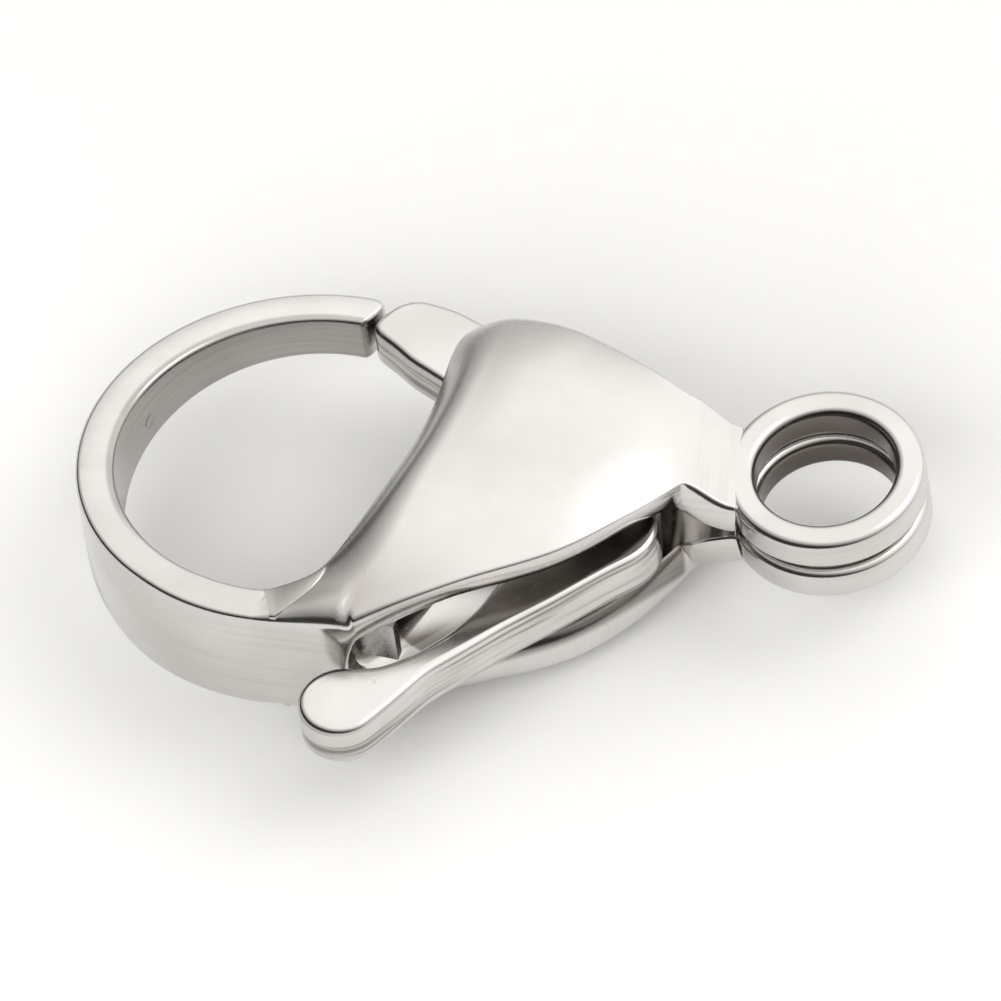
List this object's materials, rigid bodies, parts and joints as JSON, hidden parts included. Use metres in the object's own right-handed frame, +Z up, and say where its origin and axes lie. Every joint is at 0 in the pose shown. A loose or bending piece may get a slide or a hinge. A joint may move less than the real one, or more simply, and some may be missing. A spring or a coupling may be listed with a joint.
{
  "type": "lobster clasp",
  "caption": "Polished steel lobster claw clasp with a round hook, two domed cheeks, a sprung lever and a double-ring eye.",
  "frame": {"origin": "centre of the eye's hole, on the middle plane between its two rings", "axes": "+X from the hook to the eye along the clasp, +Y towards the nose side, -Y towards the thumb pad, +Z up along the eye's hole"},
  "size_m": [0.0146, 0.0097, 0.0038],
  "materials": {
    "body_steel": "polished",
    "lever_steel": "polished edges, finely brushed sides",
    "pin_steel": "plain",
    "spring_steel": "plain"
  },
  "bodies": {
    "shell": {"body": "body_steel", "pivot_pin": "pin_steel", "spring_leaf": "spring_steel"},
    "lever": {"lever": "lever_steel"}
  },
  "joints": [
    {"name": "lever_hinge", "type": "hinge", "parent": "shell", "child": "lever", "pos_m": [-0.0039, 0, 0], "axis": [0, 0, 1], "range_deg": [0, 22], "stiffness_Nm_per_rad": 0.0001, "springref_deg": -14.32}
  ]
}
